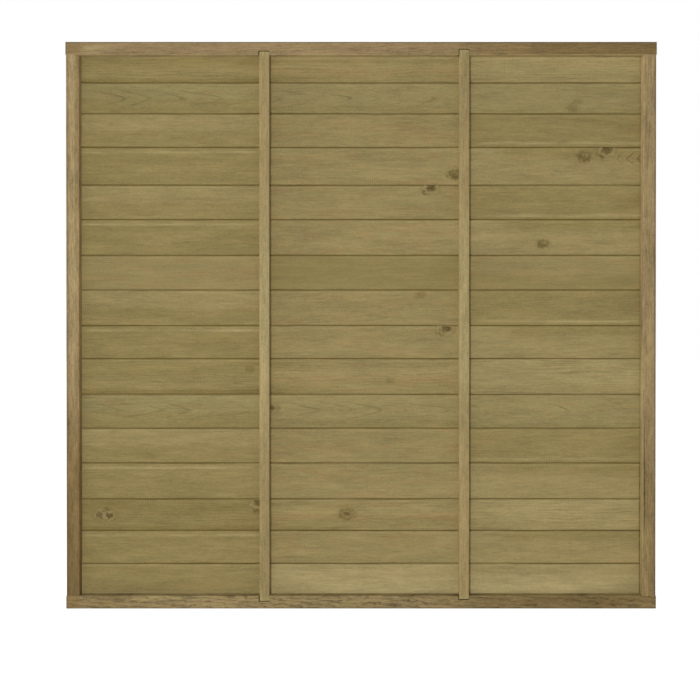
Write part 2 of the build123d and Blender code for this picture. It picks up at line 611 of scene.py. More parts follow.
    def ripples(self, graph: Graph, along: bpy.types.NodeSocket, place: bpy.types.Node) -> bpy.types.Node:
        """Adds the planer's cross ripples, which show in patches.

        Args:
            graph: The tree to add to.
            along: Place along the grain.
            place: Where on the timber a point lies.

        Returns:
            A node whose value runs from -1 to 1.
        """
        slip = self.pattern(graph, place, RIPPLE_STRETCHES)
        slip = graph.math("MULTIPLY", slip, RIPPLE_SLIP)
        pace = math.tau / (RIPPLE_PITCH * MM)
        turns = graph.math("MULTIPLY_ADD", along, pace, slip)
        wave = graph.math("SINE", turns)
        patches = self.pattern(graph, place, RIPPLE_PATCHES)
        limits = {"Value": patches, "From Min": RIPPLES_HIDDEN, "From Max": RIPPLES_FULL}
        shown = graph.add("MapRange", limits)
        return graph.math("MULTIPLY", wave, shown)

    def colour(
        self,
        graph: Graph,
        timber: bpy.types.Node,
        place: bpy.types.Node,
        ring: bpy.types.Node,
        fibre: bpy.types.Node,
        ripple: bpy.types.Node,
    ) -> bpy.types.Node:
        """Adds the wood's colour: its ground tone, streaks, patches and late wood.

        Args:
            graph: The tree to add to.
            timber: A point along, across and through the timber.
            place: The same point, moved by the piece's seed.
            ring: The late wood.
            fibre: The fine fibres.
            ripple: The planer's ripples.

        Returns:
            A node that gives the colour.
        """
        colour: Any = linear(self.ground.value)
        for tone, marks, weight in TINTS:
            cloud = self.pattern(graph, place, marks)
            share = graph.add("MapRange", {"Value": cloud, "To Max": weight * self.cast})
            colour = graph.blend(share, colour, tone.value)
            place = graph.vector("ADD", place, SEED_STEP)
        breaks = self.pattern(graph, place, PATCH_BREAKS)
        for patch in self.patches:
            mask = self.patch_mask(graph, timber, breaks, patch)
            colour = graph.blend(mask, colour, patch.tone.value)
        if self.joint:
            colour = self.darken_joint(graph, timber, colour)
        shade: Any = 1.0 + self.figure.strength * LATE_WOOD_SHARE
        parts = [
            (ring, -self.figure.strength),
            (fibre, FIBRE_WEIGHT),
            (ripple, RIPPLE_WEIGHT * self.planed),
        ]
        for marks, weight in CLOUDS:
            parts.append((self.pattern(graph, place, marks), weight * self.contrast))
            place = graph.vector("ADD", place, SEED_STEP)
        for part, weight in parts:
            shade = graph.math("MULTIPLY_ADD", part, weight, shade)
        if self.speckle:
            dots = self.pattern(graph, place, SPECKS)
            dark = graph.add("MapRange", {"Value": dots})
            shade = graph.math("MULTIPLY_ADD", dark, -self.speckle, shade)
        return graph.add("VectorMath", {0: colour, "Scale": shade}, operation="SCALE")

    def darken_joint(self, graph: Graph, timber: bpy.types.Node, colour: bpy.types.Node) -> bpy.types.Node:
        """Adds the dark residue inside the joints, where neither planer nor rain reaches.

        Args:
            graph: The tree to add to.
            timber: A point along, across and through the timber.
            colour: The wood's colour.

        Returns:
            A node that gives the colour with its joints.
        """
        depth = graph.add("SeparateXYZ", {0: timber}).outputs["Z"]
        start, end = (place * MM for place in self.joint)
        fade = JOINT_FADE * MM
        inner, outer = (
            graph.smooth(depth, near, far)
            for near, far in ((start, start + fade), (end, end - fade))
        )
        mask = graph.math("MULTIPLY", inner, outer)
        return graph.blend(mask, colour, Tone.JOINT.value)

    def patch_mask(
        self, graph: Graph, timber: bpy.types.Node, breaks: bpy.types.Node, patch: Patch
    ) -> bpy.types.Node:
        """Adds the mask of a patch: full inside it, with soft and broken edges.

        Args:
            graph: The tree to add to.
            timber: A point along, across and through the timber.
            breaks: The noise that breaks it up.
            patch: The patch.

        Returns:
            A node whose value runs from 0 to the patch's weight.
        """
        middle = (sum(patch.along) / 2 * MM, sum(patch.across) / 2 * MM, 0.0)
        offset = graph.vector("SUBTRACT", timber, middle)
        reach = graph.add("SeparateXYZ", {0: graph.vector("ABSOLUTE", offset)})
        mask: Any = patch.weight
        for axis, (start, end), soft in zip("XY", (patch.along, patch.across), patch.soft):
            half = (end - start) / 2
            edge = graph.smooth(reach.outputs[axis], (half + soft) * MM, (half - soft) * MM)
            mask = graph.math("MULTIPLY", edge, mask)
        if patch.reach is not None:
            limits = {
                "Value": graph.add("SeparateXYZ", {0: timber}).outputs["Z"],
                "From Min": (patch.reach - PATCH_DEPTH_FADE) * MM,
                "From Max": (patch.reach + PATCH_DEPTH_FADE) * MM,
                "To Min": 1.0,
                "To Max": patch.beyond,
            }
            mask = graph.math("MULTIPLY", graph.add("MapRange", limits), mask)
        least = 1.0 - 2.0 * patch.broken
        kept = graph.add("MapRange", {"Value": breaks, "From Min": -1.0, "To Min": least})
        return graph.math("MULTIPLY", mask, kept, use_clamp=True)

    def knot_mask(
        self, graph: Graph, timber: bpy.types.Node, place: bpy.types.Node, knot: Knot, zone: KnotZone
    ) -> bpy.types.Node:
        """Adds the mask of one zone of a knot.

        Args:
            graph: The tree to add to.
            timber: A point along, across and through the timber.
            place: The same point, moved by the piece's seed.
            knot: The knot.
            zone: The zone.

        Returns:
            A node whose value is 1 where the zone is full.
        """
        along, across = (
            middle + side * zone.shift * knot.radius
            for middle, side in zip((knot.along, knot.across), knot.lit)
        )
        offset = graph.vector("SUBTRACT", timber, (along * MM, across * MM, 0.0))
        size = (1 / (knot.radius * KNOT_STRETCH * MM), zone.flat / (knot.radius * MM), 0.0)
        scaled = graph.vector("MULTIPLY", offset, size)
        distance = graph.vector("LENGTH", scaled).outputs["Value"]
        uneven = self.pattern(graph, place, Marks(knot.radius, knot.radius))
        distance = graph.math("MULTIPLY_ADD", uneven, KNOT_UNEVEN, distance)
        mask = graph.smooth(distance, zone.outer, zone.inner)
        grain = self.pattern(graph, place, Marks(knot.radius * KNOT_GRAIN, knot.radius * KNOT_GRAIN))
        kept = graph.add(
            "MapRange",
            {
                "Value": grain,
                "From Min": KNOT_GRAIN_LOST,
                "From Max": KNOT_GRAIN_KEPT,
                "To Min": 1.0 - zone.mottle,
            },
        )
        return graph.math("MULTIPLY", mask, kept)

    def arch_mask(
        self, graph: Graph, timber: bpy.types.Node, place: bpy.types.Node, arches: Arches
    ) -> bpy.types.Node:
        """Adds the mask of nested arches.

        Args:
            graph: The tree to add to.
            timber: A point along, across and through the timber.
            place: The same point, moved by the piece's seed.
            arches: The arches.

        Returns:
            A node whose value runs from 0 to the arches' strength.
        """
        tip = (arches.along * MM, arches.across * MM, 0.0)
        offset = graph.add("SeparateXYZ", {0: graph.vector("SUBTRACT", timber, tip)})
        drift = Marks(arches.pitch * ARCH_DRIFT_LENGTH, arches.spread * ARCH_DRIFT_WIDTH)
        waver = self.pattern(graph, place, drift)
        along = graph.math("MULTIPLY_ADD", waver, arches.waver * MM, offset.outputs["X"])
        aside = graph.math("ABSOLUTE", offset.outputs["Y"])
        bend = graph.add("CombineXYZ", {"X": aside, "Y": arches.tip_radius * MM})
        bend = graph.vector("LENGTH", bend).outputs["Value"]
        lean = graph.math("MULTIPLY_ADD", bend, -arches.lean, along)
        lean = graph.math("ADD", lean, arches.lean * arches.tip_radius * MM)
        turns = graph.math("DIVIDE", lean, arches.pitch * MM)
        near = graph.math("PINGPONG", turns, ARCH_HALF)
        mask: Any = arches.strength
        for value, outer, inner in (
            (near, arches.width / arches.pitch, 0.0),
            (aside, arches.spread * MM, arches.spread * ARCH_CORE * MM),
            (turns, -ARCH_HALF, -ARCH_HALF + ARCH_FADE),
            (turns, arches.count - ARCH_HALF, arches.count - ARCH_HALF - ARCH_FADE),
        ):
            edge = graph.smooth(value, outer, inner)
            mask = graph.math("MULTIPLY", edge, mask)
        patches = self.pattern(graph, place, ARCH_PATCHES)
        shown = graph.add("MapRange", {"Value": patches, "From Min": ARCHES_HIDDEN})
        return graph.math("MULTIPLY", mask, shown)


@dataclass(frozen=True)
class GalvanisedSteel:
    """Hot dipped zinc on drawn wire: dull grey with a soft spangle and a warm bloom where it weathers.

    Attributes:
        name: The material's name.
        zinc: Colour of the clean zinc.
        bloom: Colour of the weathered zinc.
        roughness: Roughness of the clean zinc.
        unevenness: How much rougher the bloom is.
        spangle: Size of the spangle in millimetres.
    """

    name: str = "galvanised_steel_dipped"
    zinc: str = "#8f8f8a"
    bloom: str = "#6b6558"
    roughness: float = 0.38
    unevenness: float = 0.2
    spangle: float = 1.2

    def material(self) -> bpy.types.Material:
        """Builds the finish as a material.

        Returns:
            The new material.
        """
        material = bpy.data.materials.new(self.name)
        material.use_nodes = True
        graph = Graph(material.node_tree)
        place = graph.add("TexCoord").outputs["Object"]
        cloud = graph.add("TexNoise", {"Vector": place, "Scale": 1 / (self.spangle * MM), "Detail": 2.0})
        colour = graph.blend(cloud, linear(self.zinc), self.bloom)
        rough = graph.math("MULTIPLY_ADD", cloud, self.unevenness, self.roughness)
        surface = graph.add("BsdfPrincipled", {"Base Color": colour, "Metallic": 1.0, "Roughness": rough})
        graph.add("OutputMaterial", {"Surface": surface})
        return material


# How finely a rounded corner and a flat are divided, and the length of a mesh step along a piece
ARC_STEPS = 4
FLAT_STEP = 7.0 * MM
LENGTH_STEP = 9.0 * MM
END_EASE = 0.8 * MM
SMOOTH_ANGLE = math.radians(32.0)
# How far a cutter reaches past the face that it opens, and past a face that would lie in its own plane
CUT_MARGIN = 2.0 * MM
CUT_SKIM = 0.02 * MM


@dataclass(frozen=True)
class Corner:
    """A corner of a cross-section, rounded by a radius, in metres."""

    across: float
    depth: float
    radius: float = 0.0


def outline(corners: Sequence[Corner]) -> list[Point]:
    """Draws a cross-section with rounded corners and divided flats.

    Args:
        corners: The corners in order round the section.

    Returns:
        The points of the closed outline.
    """
    points: list[Vector] = []
    for index, corner in enumerate(corners):
        here = Vector((corner.across, corner.depth))
        if not corner.radius:
            points.append(here)
            continue
        first, last = (
            here + (Vector((near.across, near.depth)) - here).normalized() * corner.radius
            for near in (corners[index - 1], corners[(index + 1) % len(corners)])
        )
        for step in range(ARC_STEPS + 1):
            share = step / ARC_STEPS
            points.append(first.lerp(here, share).lerp(here.lerp(last, share), share))
    divided: list[Point] = []
    for start, end in zip(points, points[1:] + points[:1]):
        steps = max(1, round((end - start).length / FLAT_STEP))
        divided.extend(tuple(start.lerp(end, step / steps)) for step in range(steps))
    return divided


def stations(start: float, end: float) -> list[float]:
    """Divides a length into mesh steps, with a short one at each end for the eased arris.

    Args:
        start: Where the length starts.
        end: Where it ends.

    Returns:
        The places of the steps.
    """
    first, last = start + END_EASE, end - END_EASE
    steps = max(1, round((last - first) / LENGTH_STEP))
    return [start, *(first + (last - first) * step / steps for step in range(steps + 1)), end]


def mesh_object(name: str, shape: bmesh.types.BMesh) -> bpy.types.Object:
    """Turns a finished shape into an object in the scene.

    Args:
        name: The new object's name.
        shape: The shape, which is freed.

    Returns:
        The new object.
    """
    bmesh.ops.recalc_face_normals(shape, faces=shape.faces)
    mesh = bpy.data.meshes.new(name)
    shape.to_mesh(mesh)
    shape.free()
    made = bpy.data.objects.new(name, mesh)
    bpy.context.scene.collection.objects.link(made)
    return made


def sweep(name: str, section: Sequence[Point], lengths: Sequence[float], place: Place) -> bpy.types.Object:
    """Makes a closed mesh from a section that is carried along a length.

    Args:
        name: The new object's name.
        section: The section's outline, across and depth.
        lengths: The places along the length where the section is set.
        place: Gives the point for a place along, across and through the piece.

    Returns:
        The new object, in the scene.
    """
    shape = bmesh.new()
    rings = [[shape.verts.new(place(along, *point)) for point in section] for along in lengths]
    for near, far in zip(rings, rings[1:]):
        for index in range(len(section)):
            shape.faces.new((near[index - 1], near[index], far[index], far[index - 1]))
    shape.faces.new(rings[0])
    shape.faces.new(rings[-1])
    return mesh_object(name, shape)


def block(low: Vector, high: Vector) -> bpy.types.Object:
    """Makes a plain block to cut with.

    Args:
        low: Its lowest corner.
        high: Its highest corner.

    Returns:
        The block.
    """
    shape = bmesh.new()
    bmesh.ops.create_cube(shape, size=1.0)
    for vertex in shape.verts:
        vertex.co = Vector(top if side > 0 else bottom for side, bottom, top in zip(vertex.co, low, high))
    return mesh_object("cutter", shape)


def cut(piece: bpy.types.Object, cutters: Iterable[bpy.types.Object]) -> None:
    """Cuts shapes out of a piece, and deletes them.

    Args:
        piece: The piece to cut.
        cutters: The shapes to take away.
    """
    for cutter in cutters:
        modifier = piece.modifiers.new("cut", "BOOLEAN")
        modifier.operation = "DIFFERENCE"
        modifier.solver = "EXACT"
        modifier.object = cutter
        result = piece.evaluated_get(bpy.context.evaluated_depsgraph_get())
        mesh = bpy.data.meshes.new_from_object(result)
        piece.modifiers.clear()
        old, piece.data = piece.data, mesh
        mesh.name = piece.name
        for unused in (old, cutter.data):
            bpy.data.meshes.remove(unused)


# Steps of the seed that give the edges and the back of a piece their own wander
LOWER_STEP = 0.2
UPPER_STEP = 0.5
BACK_STEP = 0.8


def wander(at: float, length: float, seed: float) -> float:
    """Slow noise along a piece, from -1 to 1, with swings of about a given length."""
    return noise.noise(Vector((at / length, seed * SEED_STEP[0], seed * SEED_STEP[1])))


def ramp(value: float, start: float, end: float) -> float:
    """How far a value is from start to end, held between 0 and 1."""
    return min(1.0, max(0.0, (value - start) / (end - start)))


def eased(value: float, bounds: Sequence[float]) -> float:
    """How far a point of a sawn end is drawn in towards the middle of its section.

    Args:
        value: The point's coordinate.
        bounds: The same coordinate of the section's corners.

    Returns:
        The step towards the middle.
    """
    inward = (min(bounds) + max(bounds)) / 2 - value
    return math.copysign(min(END_EASE, abs(inward)), inward)


@dataclass
class Timber:
    """A length of wood that stands for a node of the frame.

    Attributes:
        node: The node that it stands for.
        finish: Its wood.
        slot: The slot for its finish, which is not used.
        sway: How far its edges wander sideways, in metres.
        sway_length: Length of a swing of that wander, in metres.
        hollow: How far its back face dips, in metres.
        low: Lowest corner of the node's box.
        high: Highest corner of the node's box.
    """

    node: str
    finish: TreatedSoftwood
    slot: str
    sway: float = 0.5 * MM
    sway_length: float = 0.23
    hollow: float = 0.3 * MM
    low: Vector = field(init=False)
    high: Vector = field(init=False)

    def __post_init__(self) -> None:
        """Takes the node's box from the frame."""
        self.low, self.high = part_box(self.node)

    def corners(self) -> list[Corner]:
        """The corners of its cross-section."""
        raise NotImplementedError

    def cutters(self) -> list[bpy.types.Object]:
        """The shapes that are cut out of it."""
        return []

    def stray(self, along: float, across: float, depth: float) -> Point:
        """How far a point lies from where a machine would have put it.

        Args:
            along: Place along the grain.
            across: Place across the grain.
            depth: Place through the panel.

        Returns:
            How far it is moved across and through the piece.
        """
        raise NotImplementedError

    def ends(self) -> Point:
        """Where it starts and ends along the grain."""
        if self.finish.grain is Grain.LEVEL:
            return self.low.x, self.high.x
        return self.low.z, self.high.z

    def point(self, along: float, across: float, depth: float) -> Vector:
        """Puts a point of the section in the panel, with its wander and the eased ends.

        Args:
            along: Place along the grain.
            across: Place across the grain.
            depth: Place through the panel.

        Returns:
            The point in the panel's frame.
        """
        aside, inward = self.stray(along, across, depth)
        if along in self.ends():
            corners = self.corners()
            aside += eased(across, [corner.across for corner in corners])
            inward += eased(depth, [corner.depth for corner in corners])
        if self.finish.grain is Grain.LEVEL:
            return Vector((along, depth + inward, across + aside))
        return Vector((across + aside, depth + inward, along))

    def build(self) -> bpy.types.Object:
        """Builds the piece, dresses it and fixes it in the node's place.

        Returns:
            The finished piece.
        """
        piece = sweep(f"{self.node}_wood", outline(self.corners()), stations(*self.ends()), self.point)
        cut(piece, self.cutters())
        piece.data.shade_smooth()
        piece.data.set_sharp_from_angle(angle=SMOOTH_ANGLE)
        piece.data.materials.clear()
        piece.data.materials.append(self.finish.material())
        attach(piece, BODY)
        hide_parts(self.node)
        LOG.info("%s: %d faces", piece.name, len(piece.data.polygons))
        return piece


@dataclass
class Board(Timber):
    """A board with a tongue above and a groove below, whose joints are a V in front and a gap behind.

    Attributes:
        joint_gap: Width of the gap on the back.
        back_ease: Radius of the back arrises.
        front_bevel: Size of the bevels that make the V.
        front_inset: How far the front face lies inside the node's box.
        tongue_length: How far the tongue stands out.
        tongue_back: From the back face to the tongue.
        tongue_thickness: Thickness of the tongue.
        tongue_ease: Radius of the tongue's edges.
        groove_depth: Depth of the groove.
        groove_clearance: Room on each side of the tongue.
    """

    sway: float = 1.2 * MM
    joint_gap: float = 2.0 * MM
    back_ease: float = 1.0 * MM
    front_bevel: float = 2.5 * MM
    front_inset: float = 0.2 * MM
    tongue_length: float = 6.0 * MM
    tongue_back: float = 4.0 * MM
    tongue_thickness: float = 4.0 * MM
    tongue_ease: float = 0.6 * MM
    groove_depth: float = 7.0 * MM
    groove_clearance: float = 0.25 * MM

    def corners(self) -> list[Corner]:
        """Draws the section: back face, tongue, bevelled front and groove.

        Returns:
            The section's corners.
        """
        base, top = self.low.z, self.high.z - self.tongue_length
        back, front = self.low.y, self.high.y - self.front_inset
        near = back + self.tongue_back
        far = near + self.tongue_thickness
        slack = self.groove_clearance
        return [
            Corner(base + self.joint_gap, back, self.back_ease),
            Corner(top, back, self.back_ease),
            Corner(top, near),
            Corner(self.high.z, near, self.tongue_ease),
            Corner(self.high.z, far, self.tongue_ease),
            Corner(top, far),
            Corner(top, front - self.front_bevel),
            Corner(top - self.front_bevel, front),
            Corner(base + self.front_bevel, front),
            Corner(base, front - self.front_bevel),
            Corner(base, far + slack),
            Corner(base + self.groove_depth, far + slack),
            Corner(base + self.groove_depth, near - slack),
            Corner(base + self.joint_gap, near - slack),
        ]

    def stray(self, along: float, across: float, depth: float) -> Point:
        """The back arrises wander up and down, and the back face is a little hollow.

        Args:
            along: Place along the grain.
            across: Place across the grain.
            depth: Place through the panel.

        Returns:
            How far the point is moved across and through the piece.
        """
        seed = self.finish.seed
        behind = ramp(depth, self.low.y + self.tongue_back, self.low.y)
        share = ramp(across, self.low.z, self.high.z - self.tongue_length)
        lower, upper, dip = (
            wander(along, self.sway_length, seed + step) for step in (LOWER_STEP, UPPER_STEP, BACK_STEP)
        )
        aside = self.sway * behind * (lower + (upper - lower) * share)
        return aside, self.hollow * behind * (1 + dip) / 2 * math.sin(math.pi * share)


class Side(Enum):
    """A side of the frame: which way its timber runs and whether its outer edge is the higher one."""

    TOP = (Grain.LEVEL, True)
    BOTTOM = (Grain.LEVEL, False)
    LEFT = (Grain.UPRIGHT, False)
    RIGHT = (Grain.UPRIGHT, True)

    @property
    def outer_is_high(self) -> bool:
        """Whether the outer edge has the higher coordinate."""
        return self.value[1]


@dataclass
class FrameMember(Timber):
    """A rebated length of the frame, with its own side's notches or shoulders.

    Attributes:
        side: The side of the frame where it lies.
        rebate_lap: How far the rebate cuts in under its back face.
        ease: Radius of its arrises.
        outer_inset: How far its outer edge lies inside the node's box.
        true_share: The share of its face, from the outer edge, that stays true.
        notch_side_gap: How much wider than a batten its notch is.
        notch_end_gap: How much longer than a batten its notch is.
        shake: Where a drying shake starts and ends along the grain, or nothing.
        shake_inset: From the inner arris to the shake.
        shake_width: Width of the shake.
        shake_depth: Depth of the shake.
        shake_taper: How sharply the shake narrows at its ends, where 1 would follow a sine.
        shake_swing: Length of a swing of the shake's wander.
        rebate: Depth of the rebate's floor, which is the back of the boards.
    """

    side: Side = Side.TOP
    rebate_lap: float = 15.0 * MM
    ease: float = 1.5 * MM
    outer_inset: float = 0.15 * MM
    true_share: float = 0.25
    notch_side_gap: float = 3.0 * MM
    notch_end_gap: float = 2.5 * MM
    shake: Point | None = None
    shake_inset: float = 5.2 * MM
    shake_width: float = 2.2 * MM
    shake_depth: float = 3.0 * MM
    shake_taper: float = 0.5
    shake_swing: float = 70.0 * MM
    rebate: float = field(init=False)

    def __post_init__(self) -> None:
        """Takes the node's box and the depth of the boards' back from the frame."""
        super().__post_init__()
        self.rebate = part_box("board_01")[0].y

    def span(self) -> Point:
        """Its lowest and highest coordinates across the grain."""
        if self.finish.grain is Grain.LEVEL:
            return self.low.z, self.high.z
        return self.low.x, self.high.x

    def edge(self, offset: float) -> float:
        """The coordinate across the grain that lies so far in from the outer edge."""
        low, high = self.span()
        return high - offset if self.side.outer_is_high else low + offset

    def face(self) -> float:
        """Width of its back face."""
        low, high = self.span()
        return high - low

    def corners(self) -> list[Corner]:
        """Draws the section: back face, rebate and front lip.

        Returns:
            The section's corners.
        """
        face, back, front = self.face(), self.low.y, self.high.y
        return [
            Corner(self.edge(self.outer_inset), back, self.ease),
            Corner(self.edge(face), back, self.ease),
            Corner(self.edge(face), self.rebate),
            Corner(self.edge(face - self.rebate_lap), self.rebate),
            Corner(self.edge(face - self.rebate_lap), front, self.ease),
            Corner(self.edge(self.outer_inset), front, self.ease),
        ]

    def stray(self, along: float, across: float, depth: float) -> Point:
        """The inner back arris wanders a little, and the back face dips.

        Args:
            along: Place along the grain.
            across: Place across the grain.
            depth: Place through the panel.

        Returns:
            How far the point is moved across and through the piece.
        """
        behind = ramp(depth, self.rebate, self.low.y)
        inner = ramp(abs(across - self.edge(0.0)), self.face() * self.true_share, self.face())
        sideways, dip = (
            wander(along, self.sway_length, self.finish.seed + step) for step in (LOWER_STEP, BACK_STEP)
        )
        return self.sway * behind * inner * sideways, self.hollow * behind * (1 + dip) / 2

    def cutters(self) -> list[bpy.types.Object]:
        """Makes the notches for the battens in a rail, or the shoulders and the shake of a stile.

        Returns:
            The shapes to cut out.
        """
        margin = Vector((CUT_MARGIN, CUT_MARGIN, CUT_MARGIN))
        floor = self.rebate + CUT_SKIM
        if self.finish.grain is Grain.LEVEL:
            notches = []
            for low, high in (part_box("left_batten"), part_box("right_batten")):
                start, end = low - margin, high.copy()
                start.x = low.x - self.notch_side_gap
                end.y = floor
                if self.side is Side.TOP:
                    start.z, end.z = self.low.z - CUT_MARGIN, high.z + self.notch_end_gap
                else:
                    start.z, end.z = low.z - self.notch_end_gap, self.high.z + CUT_MARGIN
                notches.append(block(start, end))
            return notches
        start, end = self.low - margin, self.high + margin
        end.y = floor
        above, below = start.copy(), end.copy()
        above.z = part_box("top_rail")[0].z
        below.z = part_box("bottom_rail")[1].z
        shoulders = [block(start, below), block(above, end)]
        return shoulders + ([self.split(*self.shake)] if self.shake else [])

    def split(self, start: float, end: float) -> bpy.types.Object:
        """Makes the cutter for a drying shake that runs near the inner arris and dies out at both ends.

        Args:
            start: Where the shake starts along the grain.
            end: Where it ends.

        Returns:
            The cutter.
        """
        middle = self.edge(self.face() - self.shake_inset)
        half = self.shake_width / 2
        back = self.low.y

        def place(along: float, across: float, depth: float) -> Vector:
            """Narrows the shake towards its ends and lets it wander.

            Args:
                along: Place along the grain.
                across: Place across the grain.
                depth: Place through the panel.

            Returns:
                The point in the panel's frame.
            """
            share = ramp(along, start - CUT_MARGIN, end + CUT_MARGIN)
            taper = math.sin(math.pi * share) ** self.shake_taper
            drift = self.shake_width * wander(along, self.shake_swing, self.finish.seed)
            return Vector((middle + (across - middle) * taper + drift, depth, along))

        section = [
            (middle - half, back - CUT_MARGIN),
            (middle + half, back - CUT_MARGIN),
            (middle + half, back),
            (middle, back + self.shake_depth),
            (middle - half, back),
        ]
        return sweep("cutter", section, stations(start, end), place)


@dataclass
class Batten(Timber):
    """A plain upright batten, flush with the frame's back.

    Attributes:
        ease: Radius of its back arrises.
    """

    sway: float = 0.7 * MM
    ease: float = 1.2 * MM

    def corners(self) -> list[Corner]:
        """The section's corners."""
        return [
            Corner(self.low.x, self.low.y, self.ease),
            Corner(self.high.x, self.low.y, self.ease),
            Corner(self.high.x, self.high.y),
            Corner(self.low.x, self.high.y),
        ]

    def stray(self, along: float, across: float, depth: float) -> Point:
        """The whole batten bows a little, and its back dips.

        Args:
            along: Place along the grain.
            across: Place across the grain.
            depth: Place through the panel.

        Returns:
            How far the point is moved across and through the piece.
        """
        behind = ramp(depth, self.high.y, self.low.y)
        sideways, dip = (
            wander(along, self.sway_length, self.finish.seed + step) for step in (LOWER_STEP, BACK_STEP)
        )
        return self.sway * behind * sideways, self.hollow * behind * (1 + dip) / 2


class Bay(Enum):
    """A third of the panel between its uprights, or part of one, as millimetres along the boards."""

    LEFT = (-900.0, -300.0)
    MIDDLE = (-300.0, 320.0)
    RIGHT = (320.0, 900.0)
    BESIDE_LEFT_BATTEN = (-400.0, -60.0)
    RIGHT_END = (450.0, 900.0)
    BESIDE_RIGHT_BATTEN = (260.0, 430.0)


@dataclass(frozen=True)
class Band:
    """A broad band of another tone, which boards from the same log share.

    Attributes:
        boards: The boards that have it.
        bay: The bay where it shows.
        tone: Its colour.
        across: Where it starts and ends, as shares of the board's width from its upper edge.
        weight: How far it covers the wood below, from 0 to 1.
        fade: How far its ends fade along the grain, in millimetres.
        broken: How far slow noise breaks it up, from 0 to 1.
    """

    boards: tuple[int, ...]
    bay: Bay
    tone: Tone
    across: Point = (0.0, 1.0)
    weight: float = 0.9
    fade: float = 25.0
    broken: float = 0.15


# How far the edge of a band fades across the grain, in millimetres
BAND_FADE = 7.0
# The boards below this one stand clear of the right stile, and how dark the painted shade in that corner is
# there and above
LOWEST_BOARDS = 12
LOW_CORNER_SHADE = 0.8
HIGH_CORNER_SHADE = 0.3
# How deep the boards' back reaches in millimetres, and the share of a band that shows on the front
BACK_REACH = 12.0
BAND_BEYOND = 0.3
# The board with the plainest face, and how far its clouds are held back
PLAIN_BOARD = 7
PLAIN_CONTRAST = 0.7
# The highest and the lowest board, and the one with the darkest end
HIGHEST_BOARD = 1
LOWEST_BOARD = 16
DARK_BOARD = 14
# The length of the boards that shows and their ends beside the stiles, in millimetres
BOARD_LENGTH = (-900.0, 900.0)
LEFT_BOARD_END = (-940.0, -870.5)
RIGHT_BOARD_END = (869.6, 940.0)
# How far aside from a board and how deep its pith lies in millimetres, and the most that its rings run out
PITH_ASIDE = (60.0, 130.0)
PITH_DEPTH = (35.0, 75.0)
MOST_TAPER = 0.012
# Boards from the same log, which look alike
RED_LOG = (1, 10, 14)
ARCHED_LOG = (2, 11)
SAPPY_LOG = (3, 5, 8, 12)
KNOTTY_LOG = (4, 6, 9, 13, 15)
BANDS = (
    Band(RED_LOG, Bay.LEFT, Tone.OLIVE),
    Band(RED_LOG, Bay.LEFT, Tone.TAN, (0.5, 0.84), 0.6),
    Band(RED_LOG, Bay.LEFT, Tone.SHADE, (0.86, 1.0), 0.8),
    Band((DARK_BOARD,), Bay.LEFT, Tone.SHADE, weight=0.4),
    Band(RED_LOG, Bay.MIDDLE, Tone.STRAW, (0.25, 0.52), 0.8),
    Band(RED_LOG, Bay.MIDDLE, Tone.OLIVE, (0.6, 1.0), 0.3),
    Band(RED_LOG, Bay.BESIDE_LEFT_BATTEN, Tone.SHADE, (0.07, 0.36), 0.55, 130.0, 0.5),
    Band(RED_LOG, Bay.MIDDLE, Tone.RUST, (0.47, 0.66), 0.45, 60.0, 0.4),
    Band(RED_LOG, Bay.BESIDE_LEFT_BATTEN, Tone.SHADE, (0.76, 1.0), 0.6, 130.0, 0.5),
    Band(RED_LOG, Bay.RIGHT, Tone.PALE, weight=0.7),
    Band(RED_LOG, Bay.RIGHT, Tone.TAN, (0.72, 1.0), 0.6),
    Band(ARCHED_LOG, Bay.LEFT, Tone.OLIVE, (0.5, 1.0), 0.7),
    Band(ARCHED_LOG, Bay.LEFT, Tone.SHADE, (0.78, 1.0), 0.3),
    Band(ARCHED_LOG, Bay.MIDDLE, Tone.STRAW, (0.0, 0.7), 0.4),
    Band(ARCHED_LOG, Bay.MIDDLE, Tone.OLIVE, (0.72, 1.0), 0.6),
    Band(ARCHED_LOG, Bay.RIGHT, Tone.STRAW, (0.0, 0.8), 0.3),
    Band(ARCHED_LOG, Bay.RIGHT, Tone.OLIVE, (0.86, 1.0), 0.5),
    Band(SAPPY_LOG, Bay.LEFT, Tone.STRAW, (0.0, 0.48), 0.8),
    Band(SAPPY_LOG, Bay.LEFT, Tone.OLIVE, (0.52, 1.0), 0.65),
    Band(SAPPY_LOG, Bay.RIGHT, Tone.OLIVE, weight=0.75),
    Band(KNOTTY_LOG, Bay.LEFT, Tone.OLIVE),
    Band(KNOTTY_LOG, Bay.MIDDLE, Tone.STRAW, (0.5, 0.8), 0.4),
    Band(KNOTTY_LOG, Bay.RIGHT_END, Tone.OLIVE, (0.0, 0.26), 1.0, 70.0),
    Band(KNOTTY_LOG, Bay.RIGHT, Tone.STRAW, (0.36, 1.0), 0.7),
    Band(KNOTTY_LOG, Bay.BESIDE_RIGHT_BATTEN, Tone.PALE, weight=0.5, fade=70.0),
    Band((PLAIN_BOARD,), Bay.MIDDLE, Tone.OLIVE, weight=1.0),
    Band((PLAIN_BOARD,), Bay.RIGHT, Tone.OLIVE, (0.55, 1.0), 0.7),
    Band((LOWEST_BOARD,), Bay.LEFT, Tone.OLIVE, weight=0.6),
    Band((LOWEST_BOARD,), Bay.MIDDLE, Tone.CREAM, weight=0.85),
    Band((LOWEST_BOARD,), Bay.MIDDLE, Tone.STRAW, (0.0, 0.16), 0.6),
    Band((LOWEST_BOARD,), Bay.RIGHT, Tone.CREAM, weight=0.95),
    Band((LOWEST_BOARD,), Bay.RIGHT, Tone.TAN, (0.0, 0.3), 0.7),
)


